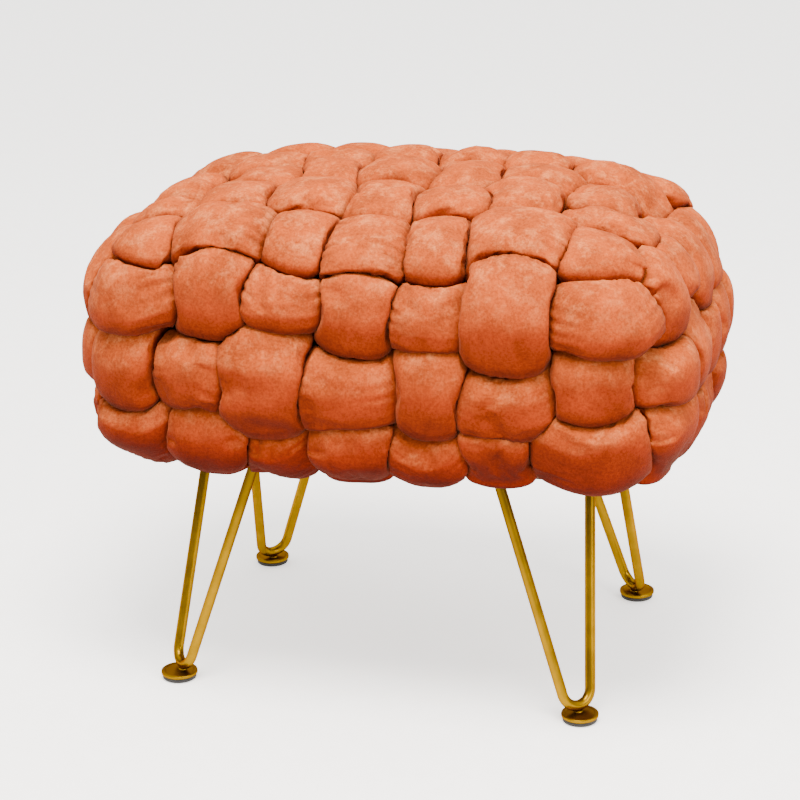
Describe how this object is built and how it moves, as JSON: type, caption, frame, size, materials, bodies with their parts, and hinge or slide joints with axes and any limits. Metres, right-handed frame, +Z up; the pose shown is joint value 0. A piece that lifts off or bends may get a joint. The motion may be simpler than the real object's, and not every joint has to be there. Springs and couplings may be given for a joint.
{
  "type": "woven pouf",
  "caption": "Low upholstered footstool or extra seat: a chunky weave of stuffed velvet tubes forms a rounded block that stands on slim metal hairpin legs.",
  "frame": {"origin": "on the floor, under the middle of the seat", "axes": "+Z up, +X along the long side of the seat, +Y from the pictured long side to the far one"},
  "size_m": [0.5375, 0.3555, 0.4393],
  "materials": {
    "velvet": "short velvet nap, terracotta orange",
    "brass_plated": "satin brass-plated steel",
    "rubber": "matt black",
    "plywood": "plain, unseen under the seat"
  },
  "bodies": {
    "root": {"column_1": "velvet", "column_2": "velvet", "column_3": "velvet", "column_4": "velvet", "column_5": "velvet", "column_6": "velvet", "column_7": "velvet", "row_1": "velvet", "row_2": "velvet", "row_3": "velvet", "row_4": "velvet", "row_5": "velvet", "band_1": "velvet", "band_2": "velvet", "band_3": "velvet", "base_board": "plywood", "leg_front_left": "brass_plated", "mounting_plate_front_left": "brass_plated", "foot_disc_front_left": "brass_plated", "rubber_pad_front_left": "rubber", "leg_front_right": "brass_plated", "mounting_plate_front_right": "brass_plated", "foot_disc_front_right": "brass_plated", "rubber_pad_front_right": "rubber", "leg_back_left": "brass_plated", "mounting_plate_back_left": "brass_plated", "foot_disc_back_left": "brass_plated", "rubber_pad_back_left": "rubber", "leg_back_right": "brass_plated", "mounting_plate_back_right": "brass_plated", "foot_disc_back_right": "brass_plated", "rubber_pad_back_right": "rubber"}
  },
  "joints": []
}
